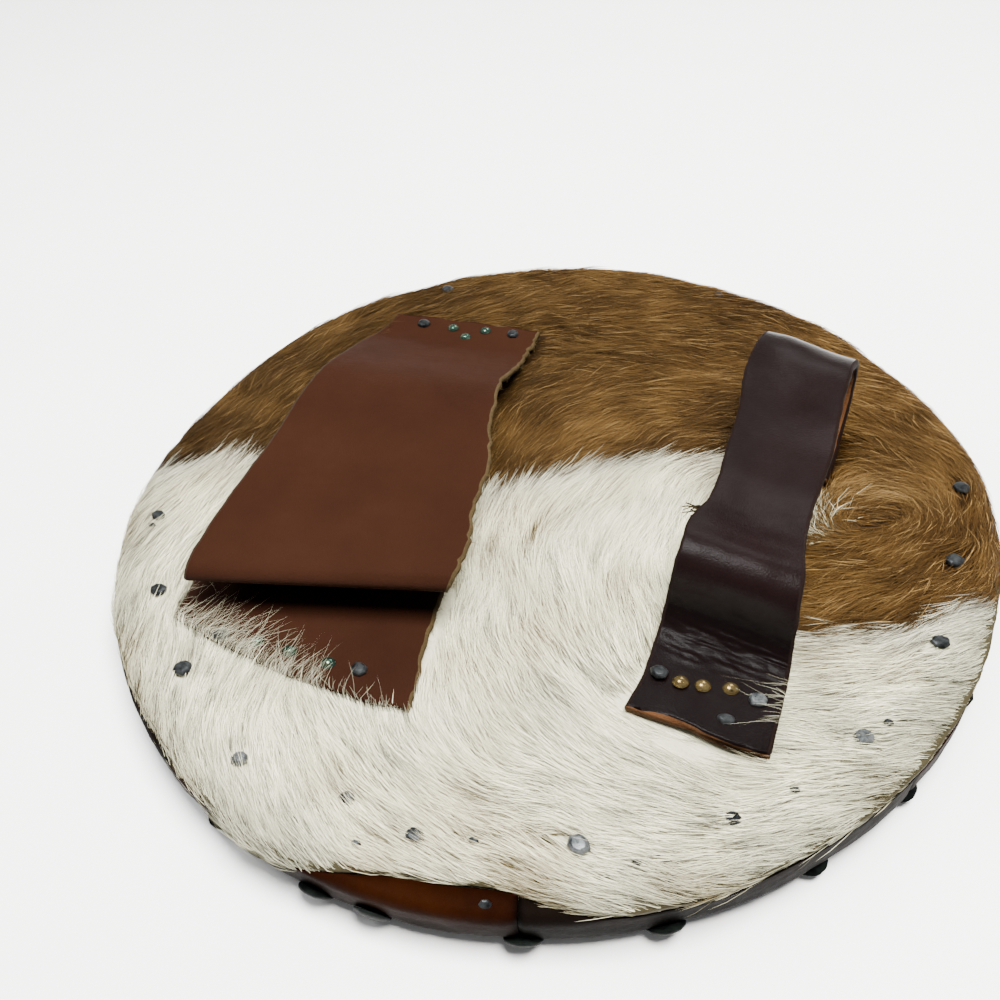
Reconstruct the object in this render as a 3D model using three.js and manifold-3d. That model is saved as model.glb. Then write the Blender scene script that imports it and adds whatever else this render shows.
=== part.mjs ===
// A round hide-backed shield of the targe kind, lying on its face with its back up: a wooden board,
// leather face panels turned up over its edge, a haired hide on the back, a wide bowed arm strap, a
// narrow looped hand strap, and iron studs and nails. Millimetres, +Z up. The origin is on the floor
// under the middle; +Y runs along the arm strap and +X from the arm strap to the hand strap.
import * as THREE from "three";
import { mergeVertices } from "three/addons/utils/BufferGeometryUtils.js";
import Module from "manifold-3d";

// --- driving dimensions ---------------------------------------------------------------------------
const gap = 0.3; // left between pieces that touch
const shieldRadius = 240;
const faceHeight = 5; // the studs hold the leather face this far off the floor
const faceLeather = 3;
const boardThickness = 18;
const hideThickness = 5; // skin with the flattened hair that belongs to it
const edgeRounding = 8; // of the leather where the face turns up over the board's edge
const aroundSteps = 80; // facets round the shield

const panelCount = 8; // alternating tan and dark sectors
const firstSeam = -76.6; // degrees; the others follow at equal steps

const studRadius = 7.8;
const studDome = 4;
const studShank = { width: 3, length: 15 };
const studSides = 8;
const evenStuds = 18; // share the rest of the ring equally
const evenTilt = 5; // degrees outwards from straight down
const openStuds = [
  // [degrees, tilt], spaced by hand and driven in higher up on the rounded corner
  [-98.8, 42],
  [-92, 56],
  [-76.3, 38],
  [-62, 30],
  [-45, 8],
  [-31, 8],
];

const backNail = { radius: 4.6, height: 2.4, sides: 6 };
const nailShank = { width: 2.6, length: 12 };
const backNails = [
  // [distance from the middle, degrees, size against backNail]
  [227, 123, 1],
  [228, 73, 0.85],
  [222, 197, 0.95],
  [215, -147.6, 1],
  [212, -131.8, 1.1],
  [216, -114.2, 0.95],
  [205, -99, 0.85],
  [211, -89, 1],
  [210, -70, 1.15],
  [214, -52, 0.85],
  [215, -32.6, 0.95],
  [219, -14.4, 1],
  [219, 0, 1],
  [229, 14, 1],
];

// Each strap is a row of cross-sections, from its near end to its far end:
// [Y, height of the middle above the strap's lying height, X of the left edge, X of the right edge,
// skew along Y for each millimetre across].
const armStrap = {
  thickness: 3.8,
  stepsPerSection: 4,
  sections: [
    [-144, 0, -161, -20, -0.17],
    [-124, 0, -163, -24, -0.13],
    [-104, 0, -165, -27, -0.06],
    [-92, 0.8, -164, -28, 0],
    [-82.5, 6, -163, -28, 0.04],
    [-80, 12, -161, -27, 0.08], // rises off its flap
    [-87, 17.4, -158, -25, 0.12],
    [-96, 19, -155, -23, 0.15],
    [-105, 19.8, -153, -21, 0.17],
    [-108.5, 23.4, -152, -18, 0.18], // and folds back over it
    [-104.5, 27.4, -152, -16, 0.17],
    [-86, 28.8, -153.5, -16, 0.12],
    [-55, 29.2, -154, -20, 0.06],
    [-15, 29.4, -152, -24, 0.02],
    [25, 28.8, -153, -34, 0],
    [56, 25.2, -154, -41, -0.01],
    [84, 15.8, -153.5, -42.5, -0.02],
    [106, 7.6, -153, -42, -0.02],
    [122, 2, -151, -43.5, -0.02],
    [136, 0, -148, -43, -0.02],
    [150, 0, -146, -44, -0.02],
  ],
  edgeWaves: [
    // [wavelength, size] of the uneven cut along its right edge
    [47, 1],
    [19, 0.5],
  ],
};
const handStrap = {
  thickness: 5,
  stepsPerSection: 3,
  sections: [
    [-133, 0, 77, 142, -0.14],
    [-112, 0, 81, 143.5, -0.14],
    [-95, 0, 83, 145, -0.15],
    [-84, 1.8, 84, 146, -0.17],
    [-76, 9, 84.5, 146, -0.19],
    [-71, 19, 85, 146, -0.2],
    [-65, 28.5, 86, 145, -0.2],
    [-55, 33, 88, 145, -0.2], // the crest over the knuckles
    [-42, 32, 89, 144, -0.21],
    [-22, 29, 95, 144.5, -0.22],
    [5, 28.5, 98, 147, -0.24],
    [40, 31.5, 100, 151.5, -0.27],
    [76, 37, 100, 154, -0.3],
    [102, 39, 103, 156, -0.31],
    [116, 34.5, 107, 159, -0.31],
    [120, 25, 108, 160, -0.31], // the far end curls back under
    [115, 15, 107, 160, -0.31],
    [104, 6, 106, 159, -0.31],
    [91, 1.2, 104, 157, -0.31],
    [76, 0, 102, 155, -0.31],
    [50, 0, 100, 152, -0.31],
  ],
  edgeWaves: [[61, 0.6]],
};
const armNails = [
  // [x, y, turn in degrees]
  [-52, -139.5, 20],
  [-130, -136.5, 50],
  [-123.5, 141.7, 10],
  [-59.3, 141.2, 35],
];
const handNails = [
  [88, -107, 15],
  [133.6, -111.4, 40],
  [121.8, -125, 0],
  [117, 66, 25],
  [141, 62, 60],
];
const strapNail = { radius: 4.4, height: 2.2, sides: 7 };
const strapNailShank = { width: 2.6, length: 20 };

// How far the cut edge of the hide runs out of round: by millimetres at degrees, over degrees.
const hideEdge = [
  { at: 15, by: 2.5, over: 14 },
  { at: 42, by: -3, over: 8 },
  { at: 70, by: -3, over: 12 },
  { at: 90, by: 2, over: 9 },
  { at: 140, by: 2.5, over: 14 },
  { at: 170, by: -4, over: 12 },
  { at: 235, by: -3.5, over: 16 },
  { at: 276, by: -8, over: 19 },
  { at: 313, by: -1, over: 10 },
];

// --- levels worked out from them ------------------------------------------------------------------
const boardBottom = faceHeight + faceLeather + gap;
const boardTop = faceHeight + faceLeather + boardThickness;
const hideBottom = boardTop + gap;
const hideTop = hideBottom + hideThickness;

// --- materials --------------------------------------------------------------------------------------
const finish = (color, roughness, metalness = 0) =>
  new THREE.MeshStandardMaterial({ color, roughness, metalness });
const materials = {
  wood: finish(0x8a6a45, 0.8),
  tanLeather: finish(0x7a4120, 0.55),
  darkLeather: finish(0x32241f, 0.55),
  hide: finish(0xd9d2c2, 0.9),
  armLeather: finish(0x6b4230, 0.5),
  handLeather: finish(0x3b2a2b, 0.4),
  iron: finish(0x2e3133, 0.5, 0.85),
};

// --- joining and cutting ----------------------------------------------------------------------------
const wasm = await Module();
wasm.setup();

/** A closed geometry as a manifold-3d solid. */
function toSolid(geometry) {
  const bare = geometry.clone();
  bare.deleteAttribute("normal");
  bare.deleteAttribute("uv");
  const merged = mergeVertices(bare, 1e-3);
  return new wasm.Manifold(
    new wasm.Mesh({
      numProp: 3,
      vertProperties: new Float32Array(merged.attributes.position.array),
      triVerts: new Uint32Array(merged.index.array),
    }),
  );
}

/** A manifold-3d solid as a flat-shaded geometry. */
function toGeometry(solid) {
  const { vertProperties, triVerts } = solid.getMesh();
  const indexed = new THREE.BufferGeometry();
  indexed.setAttribute("position", new THREE.BufferAttribute(new Float32Array(vertProperties), 3));
  indexed.setIndex(new THREE.BufferAttribute(new Uint32Array(triVerts), 1));
  const flat = indexed.toNonIndexed();
  flat.computeVertexNormals();
  return flat;
}

/** The geometry with every hole cut out of it. */
function drilled(geometry, holes) {
  const cut = holes.reduce((solid, hole) => solid.subtract(toSolid(hole)), toSolid(geometry));
  return toGeometry(cut);
}

// --- shapes shared by several pieces ----------------------------------------------------------------
const upright = new THREE.Matrix4().makeRotationX(Math.PI / 2);

/** Revolves an outline of [distance, height] pairs, listed from the axis outwards and back, about Z. */
function revolved(outline, steps) {
  const points = outline.map(([distance, height]) => new THREE.Vector2(distance, height));
  return new THREE.LatheGeometry(points, steps).applyMatrix4(upright);
}

/** A quarter circle of [distance, height] pairs, from straight down round to straight out. */
function roundedCorner(centreDistance, centreHeight, radius, steps) {
  return Array.from({ length: steps + 1 }, (_, step) => {
    const angle = (step / steps) * (Math.PI / 2);
    return [centreDistance + radius * Math.sin(angle), centreHeight - radius * Math.cos(angle)];
  });
}

/** A nail head with its square-cut shank, pointing up, seated at height zero. */
function nailGeometry(head, shank) {
  const half = shank.width / 2;
  return revolved(
    [
      [0, -shank.length],
      [half, -shank.length],
      [half, 0],
      [head.radius, 0],
      [head.radius * 0.96, head.height * 0.45],
      [head.radius * 0.66, head.height],
      [0, head.height * 1.05],
    ],
    head.sides,
  );
}

/** The hole that a shank needs, along the same axis as its nail. */
function shankHole(shank) {
  const side = shank.width + 2 * gap;
  const over = 8; // runs out past the seat, so that the cut is clean
  const length = shank.length + over + gap;
  return new THREE.BoxGeometry(side, side, length).translate(0, 0, over - length / 2);
}

/** A strap of even thickness through its cross-sections, with its middle line smoothed between them. */
function strapGeometry({ thickness, stepsPerSection, sections, edgeWaves }) {
  const lying = hideTop + gap + thickness / 2;
  const smooth = (points) => new THREE.CatmullRomCurve3(points, false, "centripetal");
  const middles = smooth(sections.map(([y, rise]) => new THREE.Vector3(0, y, lying + rise)));
  const edges = smooth(sections.map((section) => new THREE.Vector3(...section.slice(2))));
  const wave = (y) =>
    edgeWaves.reduce((sum, [length, size]) => sum + size * Math.sin((2 * Math.PI * y) / length), 0);
  const stations = stepsPerSection * (sections.length - 1);
  const positions = [];
  for (let station = 0; station <= stations; station += 1) {
    const middle = middles.getPoint(station / stations);
    const ahead = middles.getTangent(station / stations);
    const { x: left, y: cleanRight, z: skew } = edges.getPoint(station / stations);
    const right = cleanRight + wave(middle.y);
    const corners = [
      [left, -1],
      [right, -1],
      [right, 1],
      [left, 1],
    ];
    for (const [x, side] of corners) {
      const out = (side * thickness) / 2;
      const along = skew * (x - (left + right) / 2);
      positions.push(x, middle.y + along - ahead.z * out, middle.z + ahead.y * out);
    }
  }
  const faces = [];
  const quad = (a, b, c, d) => faces.push(a, c, b, a, d, c);
  for (let station = 0; station < stations; station += 1) {
    for (let corner = 0; corner < 4; corner += 1) {
      const here = 4 * station;
      const next = (corner + 1) % 4;
      quad(here + corner, here + next, here + 4 + next, here + 4 + corner);
    }
  }
  const end = 4 * stations;
  quad(3, 2, 1, 0);
  quad(end, end + 1, end + 2, end + 3);
  const geometry = new THREE.BufferGeometry();
  geometry.setAttribute("position", new THREE.Float32BufferAttribute(positions, 3));
  geometry.setIndex(faces);
  return geometry;
}

// --- where the nails and studs go ---------------------------------------------------------------------
const radians = THREE.MathUtils.degToRad;

/** A nail that stands on a level surface. */
function uprightPlace(x, y, z, turn) {
  return new THREE.Matrix4().makeRotationZ(radians(turn)).setPosition(x, y, z);
}

/** A stud on the rounded corner between face and edge, its dome pointing down and outwards. */
function studPlace([degrees, degreesOut]) {
  const tilt = radians(degreesOut);
  const seat = edgeRounding + gap;
  const distance = shieldRadius - edgeRounding + seat * Math.sin(tilt);
  const height = faceHeight + edgeRounding - seat * Math.cos(tilt);
  return new THREE.Matrix4()
    .makeRotationZ(radians(degrees))
    .multiply(new THREE.Matrix4().makeTranslation(distance, 0, height))
    .multiply(new THREE.Matrix4().makeRotationY(Math.PI - tilt));
}

const ringPlaces = backNails.map(([distance, degrees, size]) => ({
  size,
  place: uprightPlace(
    distance * Math.cos(radians(degrees)),
    distance * Math.sin(radians(degrees)),
    hideTop + gap,
    degrees * 3,
  ),
}));

const lastOpen = openStuds[openStuds.length - 1][0];
const evenStep = (openStuds[0][0] + 360 - lastOpen) / (evenStuds + 1);
const studs = [
  ...openStuds,
  ...Array.from({ length: evenStuds }, (_, index) => [lastOpen + (index + 1) * evenStep, evenTilt]),
];
const studPlaces = studs.map(studPlace);

const strapNailPlaces = (nails, thickness) =>
  nails.map(([x, y, turn]) => uprightPlace(x, y, hideTop + gap + thickness + gap, turn));
const armNailPlaces = strapNailPlaces(armNails, armStrap.thickness);
const handNailPlaces = strapNailPlaces(handNails, handStrap.thickness);

const holesFor = (shank, places) => places.map((place) => shankHole(shank).applyMatrix4(place));
const studHoles = holesFor(studShank, studPlaces);
const backNailHoles = holesFor(
  nailShank,
  ringPlaces.map(({ place }) => place),
);
const armNailHoles = holesFor(strapNailShank, armNailPlaces);
const handNailHoles = holesFor(strapNailShank, handNailPlaces);

// --- the pieces ---------------------------------------------------------------------------------------
const shield = new THREE.Group();

function add(name, geometry, material) {
  const mesh = new THREE.Mesh(geometry, material);
  mesh.name = name;
  shield.add(mesh);
  return mesh;
}

function addBoard() {
  const corner = edgeRounding - faceLeather - gap;
  const radius = shieldRadius - faceLeather - gap;
  const outline = [
    [0, boardBottom],
    ...roundedCorner(radius - corner, boardBottom + corner, corner, 2),
    [radius, boardTop],
    [0, boardTop],
  ];
  const holes = [...studHoles, ...backNailHoles, ...armNailHoles, ...handNailHoles];
  add("wooden_board", drilled(revolved(outline, aroundSteps), holes), materials.wood);
}

/** One sector of the face, with its edge turned up over the board. */
function addPanels() {
  const inner = shieldRadius - faceLeather;
  const centre = shieldRadius - edgeRounding;
  const arcHeight = faceHeight + edgeRounding;
  const dish = toSolid(
    revolved(
      [
        [0, faceHeight],
        ...roundedCorner(centre, arcHeight, edgeRounding, 3),
        [shieldRadius, boardTop],
        [inner, boardTop],
        ...roundedCorner(centre, arcHeight, edgeRounding - faceLeather, 3).reverse(),
        [0, faceHeight + faceLeather],
      ],
      aroundSteps,
    ),
  );
  const span = 360 / panelCount;
  for (let index = 0; index < panelCount; index += 1) {
    const start = firstSeam - (index + 1) * span;
    const panel = dish.intersect(toSolid(sectorBlock(start, start + span)));
    const name = `face_panel_${index + 1}`;
    const material = index % 2 ? materials.darkLeather : materials.tanLeather;
    add(name, drilled(toGeometry(panel), holesNear(start, start + span)), material);
  }
}

/** A tall wedge between two seams, set back from each by half a gap. */
function sectorBlock(from, to) {
  const reach = 1.2 * shieldRadius;
  const middle = radians((from + to) / 2);
  const half = radians((to - from) / 2);
  const setBack = gap / 2 / Math.sin(half);
  const tip = new THREE.Vector2(setBack * Math.cos(middle), setBack * Math.sin(middle));
  const corner = (angle) =>
    new THREE.Vector2(tip.x + reach * Math.cos(angle), tip.y + reach * Math.sin(angle));
  const shape = new THREE.Shape([tip, corner(middle - half), corner(middle + half)]);
  return new THREE.ExtrudeGeometry(shape, { depth: hideTop, bevelEnabled: false });
}

/** The stud holes that fall in a sector, or within a stud's width of its seams. */
function holesNear(from, to) {
  const margin = THREE.MathUtils.radToDeg(studRadius / shieldRadius);
  const middle = (from + to) / 2;
  return studHoles.filter((_, index) => {
    const away = THREE.MathUtils.euclideanModulo(studs[index][0] - middle + 180, 360) - 180;
    return Math.abs(away) < (to - from) / 2 + margin;
  });
}

function addHide() {
  const rolled = 3; // rounding of the upper edge
  const outline = [
    [0, hideBottom],
    [shieldRadius, hideBottom],
    [shieldRadius + 0.8, hideBottom + 1.6],
    [shieldRadius - rolled / 3, hideTop - rolled / 3],
    [shieldRadius - rolled, hideTop],
    [0, hideTop],
  ];
  const geometry = revolved(outline, aroundSteps);
  const position = geometry.attributes.position;
  for (let index = 0; index < position.count; index += 1) {
    const [x, y] = [position.getX(index), position.getY(index)];
    if (Math.hypot(x, y) > shieldRadius / 2) {
      const stretch = 1 + hideRunOut(Math.atan2(y, x)) / shieldRadius;
      position.setXY(index, x * stretch, y * stretch);
    }
  }
  const holes = [...backNailHoles, ...armNailHoles, ...handNailHoles];
  add("back_hide", drilled(geometry, holes), materials.hide);
}

/** How far the hide's cut edge lies outside the round, at an angle in radians. */
function hideRunOut(angle) {
  const degrees = THREE.MathUtils.radToDeg(angle);
  return hideEdge.reduce((sum, { at, by, over }) => {
    const away = THREE.MathUtils.euclideanModulo(degrees - at + 180, 360) - 180;
    return sum + by * Math.exp(-((away / over) ** 2));
  }, 0);
}

function addStraps() {
  add("arm_strap", drilled(strapGeometry(armStrap), armNailHoles), materials.armLeather);
  add("hand_strap", drilled(strapGeometry(handStrap), handNailHoles), materials.handLeather);
}

function addStuds() {
  const quarter = Math.PI / 2;
  const domeSteps = 3;
  const half = studShank.width / 2;
  const dome = Array.from({ length: domeSteps + 1 }, (_, step) => {
    const angle = (step / domeSteps) * quarter;
    return [studRadius * Math.cos(angle), studDome * Math.sin(angle)];
  });
  const outline = [[0, -studShank.length], [half, -studShank.length], [half, 0], ...dome];
  outline[outline.length - 1][0] = 0; // exactly on the axis
  studPlaces.forEach((place, index) => {
    const name = `face_stud_${String(index + 1).padStart(2, "0")}`;
    add(name, revolved(outline, studSides), materials.iron).applyMatrix4(place);
  });
}

function addBackNails() {
  ringPlaces.forEach(({ place, size }, index) => {
    const head = { ...backNail, radius: backNail.radius * size };
    const name = `back_nail_${String(index + 1).padStart(2, "0")}`;
    add(name, nailGeometry(head, nailShank), materials.iron).applyMatrix4(place);
  });
}

function addStrapNails(prefix, places) {
  places.forEach((place, index) => {
    const geometry = nailGeometry(strapNail, strapNailShank);
    add(`${prefix}_${index + 1}`, geometry, materials.iron).applyMatrix4(place);
  });
}

/** Moves the shield so that the origin is on the floor under the middle of its box. */
function standOnOrigin() {
  shield.updateMatrixWorld(true);
  const box = new THREE.Box3().setFromObject(shield, true);
  const middle = box.getCenter(new THREE.Vector3());
  shield.position.set(-middle.x, -middle.y, -box.min.z);
  shield.updateMatrixWorld(true);
}

addBoard();
addPanels();
addHide();
addStraps();
addStuds();
addBackNails();
addStrapNails("arm_nail", armNailPlaces);
addStrapNails("hand_nail", handNailPlaces);
standOnOrigin();

export default shield;
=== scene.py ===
"""Looks of a round hide-backed shield that lies on its face: hair, leather, brass and iron.

Shapes are worked out in millimetres from the middle of the board. add_piece turns them into metres.
The last argument of every noise is its seed.
"""

import math

import bpy
import numpy as np
from mathutils import Matrix, Vector


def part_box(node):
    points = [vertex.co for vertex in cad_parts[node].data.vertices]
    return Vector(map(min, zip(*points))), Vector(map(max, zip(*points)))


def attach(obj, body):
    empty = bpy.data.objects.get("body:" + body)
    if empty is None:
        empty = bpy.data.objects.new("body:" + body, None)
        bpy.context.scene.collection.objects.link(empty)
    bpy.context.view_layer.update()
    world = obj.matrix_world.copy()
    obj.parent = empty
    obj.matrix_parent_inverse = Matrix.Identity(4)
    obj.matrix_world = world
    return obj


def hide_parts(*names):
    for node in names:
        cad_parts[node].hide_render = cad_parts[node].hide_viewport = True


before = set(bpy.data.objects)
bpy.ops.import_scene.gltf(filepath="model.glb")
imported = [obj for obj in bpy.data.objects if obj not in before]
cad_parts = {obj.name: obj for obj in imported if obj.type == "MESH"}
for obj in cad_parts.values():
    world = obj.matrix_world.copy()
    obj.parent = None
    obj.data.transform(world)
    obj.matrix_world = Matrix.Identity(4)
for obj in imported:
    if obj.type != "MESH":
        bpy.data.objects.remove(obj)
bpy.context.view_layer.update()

MM = 0.001
BODY = "root"
SEED = 7

# --- places and levels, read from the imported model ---


def box_mm(node):
    """Lowest and highest corners of a node, in millimetres."""
    low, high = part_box(node)
    return np.array(low) / MM, np.array(high) / MM


BOARD_LOW, BOARD_HIGH = box_mm("wooden_board")
HIDE_LOW, HIDE_HIGH = box_mm("back_hide")
HUB = np.array([(BOARD_LOW[0] + BOARD_HIGH[0]) / 2, (BOARD_LOW[1] + BOARD_HIGH[1]) / 2, 0.0])
FACE_Z, PANEL_TOP = (corner[2] for corner in box_mm("face_panel_1"))
GAP = 0.3  # between one layer and the next
FACE_LEATHER = 3.0  # its thickness
RADIUS = (BOARD_HIGH[0] - BOARD_LOW[0]) / 2 + FACE_LEATHER + GAP
HIDE_TOP = HIDE_HIGH[2]
SKIN_TOP = HIDE_TOP - 1.0
EDGE_ROUNDING = 8.0  # of the corner of the face


def middle_mm(node):
    low, high = box_mm(node)
    return (low + high) / 2 - HUB


# The share of the hair that still lies over each clenched nail.
NAIL_COVER = {1: 0.1, 2: 0.98, 3: 0.3, 4: 0.0, 5: 0.03, 6: 0.35, 7: 0.8, 8: 0.84, 9: 0.02, 10: 0.93,
              11: 0.55, 12: 0.2, 13: 0.1, 14: 0.1}  # fmt: skip
NAIL_SPOTS = [(middle_mm(f"back_nail_{number:02d}")[:2], cover) for number, cover in NAIL_COVER.items()]

# --- helpers: numbers ---


def smooth_step(low, high, value):
    share = np.clip((value - low) / (high - low), 0.0, 1.0)
    return share * share * (3.0 - 2.0 * share)


def lattice_noise(x, y, size, seed):
    """Smooth noise in 0..1 with features about size millimetres across."""
    table = np.random.default_rng(seed).random((64, 64))
    u, v = np.asarray(x) / size + 31.0, np.asarray(y) / size + 31.0
    column, row = np.floor(u).astype(int), np.floor(v).astype(int)
    fu, fv = u - column, v - row
    fu, fv = fu * fu * (3 - 2 * fu), fv * fv * (3 - 2 * fv)
    left, right, low, high = column % 64, (column + 1) % 64, row % 64, (row + 1) % 64
    near = table[low, left] * (1 - fu) + table[low, right] * fu
    far = table[high, left] * (1 - fu) + table[high, right] * fu
    return near * (1 - fv) + far * fv


def waver(x, y, size, seed):
    """The same noise, about zero."""
    return lattice_noise(x, y, size, seed) - 0.5


def hump(x, middle, width):
    return np.exp(-(((x - middle) / width) ** 2))


def catmull_rom(points, steps):
    """A centripetal Catmull-Rom curve: its points and tangents, with steps in each stretch."""
    points = np.asarray(points, float)
    padded = np.vstack([2 * points[0] - points[1], points, 2 * points[-1] - points[-2]])
    found, ahead = [], []
    for index in range(len(points) - 1):
        p0, p1, p2, p3 = padded[index : index + 4]
        d0, d1, d2 = (max(np.linalg.norm(b - a) ** 0.5, 1e-4) for a, b in ((p0, p1), (p1, p2), (p2, p3)))
        t1 = ((p1 - p0) / d0 - (p2 - p0) / (d0 + d1) + (p2 - p1) / d1) * d1
        t2 = ((p2 - p1) / d1 - (p3 - p1) / (d1 + d2) + (p3 - p2) / d2) * d1
        a, b = 2 * p1 - 2 * p2 + t1 + t2, -3 * p1 + 3 * p2 - 2 * t1 - t2
        last = index == len(points) - 2
        for step in range(steps + 1 if last else steps):
            s = step / steps
            found.append(p1 + t1 * s + b * s * s + a * s**3)
            ahead.append(t1 + 2 * b * s + 3 * a * s * s)
    ahead = np.array(ahead)
    return np.array(found), ahead / np.linalg.norm(ahead[:, :2], axis=1)[:, None]


# --- helpers: meshes ---


def add_piece(name, vertices, faces, materials, face_material=None, smooth=True, tint=None):
    """A mesh piece from arrays in millimetres about the hub. faces is an (n, 3) or (n, 4) array."""
    vertices = (np.asarray(vertices, float) + HUB) * MM
    faces = np.asarray(faces, np.int32)
    mesh = bpy.data.meshes.new(name)
    mesh.vertices.add(len(vertices))
    mesh.vertices.foreach_set("co", vertices.astype(np.float32).ravel())
    mesh.loops.add(faces.size)
    mesh.loops.foreach_set("vertex_index", faces.ravel())
    mesh.polygons.add(len(faces))
    mesh.polygons.foreach_set("loop_start", np.arange(0, faces.size, faces.shape[1], dtype=np.int32))
    mesh.polygons.foreach_set("use_smooth", np.full(len(faces), smooth))
    for material in materials:
        mesh.materials.append(material)
    if face_material is not None:
        mesh.polygons.foreach_set("material_index", np.asarray(face_material, np.int32))
    mesh.update(calc_edges=True)
    if tint is not None:
        colour = mesh.color_attributes.new("tint", "FLOAT_COLOR", "POINT")
        rgba = np.column_stack([tint, np.ones(len(tint))])
        colour.data.foreach_set("color", rgba.astype(np.float32).ravel())
    mesh.validate()
    piece = bpy.data.objects.new(name, mesh)
    bpy.context.scene.collection.objects.link(piece)
    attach(piece, BODY)
    return piece


def tube_faces(rows, columns):
    """Quads over rows of vertices that each close on themselves."""
    row, column = np.meshgrid(np.arange(rows - 1), np.arange(columns), indexing="ij")
    nxt = (column + 1) % columns
    low, high = row * columns, (row + 1) * columns
    return np.stack([low + column, low + nxt, high + nxt, high + column], axis=-1).reshape(-1, 4)


def halves(quads):
    return [quads[:, [0, 1, 2]], quads[:, [0, 2, 3]]]


# --- helpers: materials ---


class Nodes:
    """Writes a material's nodes in few words. The shader's own values come with the name."""

    def __init__(self, name, **values):
        self.material = bpy.data.materials.new(name)
        self.material.use_nodes = True
        self.tree = self.material.node_tree
        self.tree.nodes.clear()
        self.shader = self.add("ShaderNodeBsdfPrincipled")
        self.add("ShaderNodeOutputMaterial", {"Surface": self.shader.outputs["BSDF"]})
        self.place = self.add("ShaderNodeTexCoord").outputs["Object"]
        for key, value in values.items():
            self.shader.inputs[key.replace("_", " ")].default_value = value

    def add(self, kind, inputs=None, **values):
        """A node with these attributes. Each input is a value to set or an output to link."""
        node = self.tree.nodes.new(kind)
        for key, value in values.items():
            setattr(node, key, value)
        for key, value in (inputs or {}).items():
            if isinstance(value, bpy.types.NodeSocket):
                self.tree.links.new(value, node.inputs[key])
            else:
                node.inputs[key].default_value = value
        return node

    def tint(self):
        """The colours that add_piece stores on the vertices."""
        return self.add("ShaderNodeVertexColor", layer_name="tint").outputs["Color"]

    def noise(self, scale, detail=4.0, roughness=0.55, stretch=None):
        place = self.place
        if stretch:
            place = self.add("ShaderNodeMapping", {"Scale": stretch, "Vector": place}).outputs["Vector"]
        inputs = {"Scale": scale, "Detail": detail, "Roughness": roughness, "Vector": place}
        return self.add("ShaderNodeTexNoise", inputs).outputs["Fac"]

    def voronoi(self, scale):
        inputs = {"Scale": scale, "Vector": self.place}
        return self.add("ShaderNodeTexVoronoi", inputs).outputs["Distance"]

    def ramp(self, factor, *stops):
        """stops are (place, colour)."""
        node = self.add("ShaderNodeValToRGB", {"Fac": factor})
        elements = node.color_ramp.elements
        while len(elements) < len(stops):
            elements.new(0.5)
        for element, (place, colour) in zip(elements, stops):
            element.position, element.color = place, (*colour, 1.0)
        return node.outputs["Color"]

    def mix(self, factor, first, second, blend="MIX"):
        """second is a plain colour. Sockets 0, 6 and 7 are the factor and the two colours."""
        inputs = {0: factor, 6: first, 7: (*second, 1.0)}
        return self.add("ShaderNodeMix", inputs, data_type="RGBA", blend_type=blend).outputs[2]

    def to_range(self, value, low, high):
        inputs = {"To Min": low, "To Max": high, "Value": value}
        return self.add("ShaderNodeMapRange", inputs).outputs["Result"]

    def finished(self, colour, *layers, rough=None):
        """The material. layers of bump are (height, strength, millimetres), the coarsest first."""
        links, bump = {"Base Color": colour}, {}
        for height, strength, distance in layers:
            bump |= {"Height": height, "Strength": strength, "Distance": distance * MM}
            bump["Normal"] = links["Normal"] = self.add("ShaderNodeBump", bump).outputs["Normal"]
        if rough:
            links["Roughness"] = rough
        for key, source in links.items():
            self.tree.links.new(source, self.shader.inputs[key])
        return self.material


def leather(name, base, dark, light, roughness, shine, grain=1500.0, pebble=0.45):
    """Grain side: mottled dye, pores, pebbles and faint scuffs, darkened where the tint is white. The tint
    paints shade in the straps' folds and flaps and on the rim's lower wall and lip, and marks dark seams
    and worn rings round the studs.
    """
    n = Nodes(name, Specular_IOR_Level=shine)
    broad, fine = n.noise(14.0, 5.0, 0.6), n.noise(320.0, 3.0, 0.6)
    mottled = n.ramp(broad, (0.3, dark), (0.5, base), (0.72, light))
    dyed = n.mix(n.to_range(fine, 0.0, 0.35), mottled, dark)
    # Painted shade and wear together, from the tint.
    worn_and_shaded = n.mix(n.tint(), dyed, tuple(0.12 * value for value in dark))
    scuffs = n.noise(60.0, 6.0, 0.65, (1.0, 5.0, 1.0))
    pebbles, pores = n.noise(620.0, 2.0, 0.5), n.voronoi(grain)
    layers = (broad, 0.25, 1.2), (scuffs, 0.12, 0.5), (pebbles, pebble, 0.3), (pores, 0.35, 0.18)
    return n.finished(worn_and_shaded, *layers, rough=n.to_range(scuffs, *roughness))


def raw_leather(name, dark, light):
    """The fibrous cut edge and flesh side."""
    n = Nodes(name, Roughness=0.9, Specular_IOR_Level=0.2)
    fibres, patches = n.noise(900.0, 6.0, 0.7, (1.0, 3.0, 1.0)), n.noise(90.0, 3.0)
    colour = n.mix(n.to_range(patches, 0.0, 0.6), n.ramp(fibres, (0.3, dark), (0.7, light)), dark)
    return n.finished(colour, (patches, 0.3, 0.8), (fibres, 0.8, 0.5))


def iron(name, dark, light, roughness, metal=0.7, shine=0.15):
    n = Nodes(name, Metallic=metal, Specular_IOR_Level=shine)
    scale = n.noise(230.0, 4.0, 0.6)
    rough = n.to_range(n.noise(900.0, 4.0), *roughness)
    layers = (scale, 0.15, 0.3), (n.voronoi(700.0), 0.12, 0.2)
    return n.finished(n.ramp(scale, (0.35, dark), (0.7, light)), *layers, rough=rough)


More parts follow.
